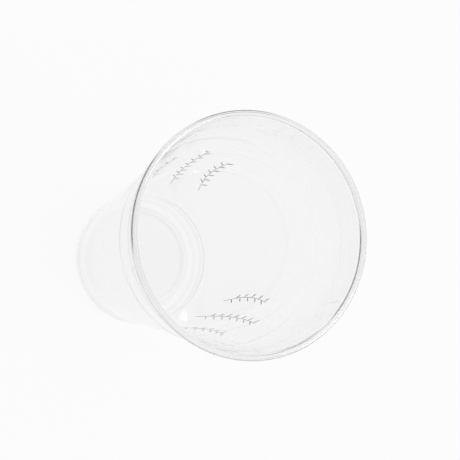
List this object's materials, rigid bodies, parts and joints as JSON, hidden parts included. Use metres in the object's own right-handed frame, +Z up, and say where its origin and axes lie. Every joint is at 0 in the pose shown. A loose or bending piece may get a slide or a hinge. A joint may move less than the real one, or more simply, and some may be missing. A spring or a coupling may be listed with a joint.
{
  "type": "plastic cup",
  "caption": "Clear tapered cold-drink cup, formed in one piece from thin plastic sheet, with a rolled rim that takes a press-on lid and a flared stacking heel.",
  "frame": {"origin": "under the middle of the foot ring, in the plane that the cup stands on", "axes": "+Z up along the cup's axis, towards the mouth; X and Y are square to it and lie anywhere round the axis"},
  "size_m": [0.098, 0.098, 0.152],
  "materials": {
    "clear_plastic": "clear, glossy"
  },
  "bodies": {
    "root": {"cup": "clear_plastic"}
  },
  "joints": []
}
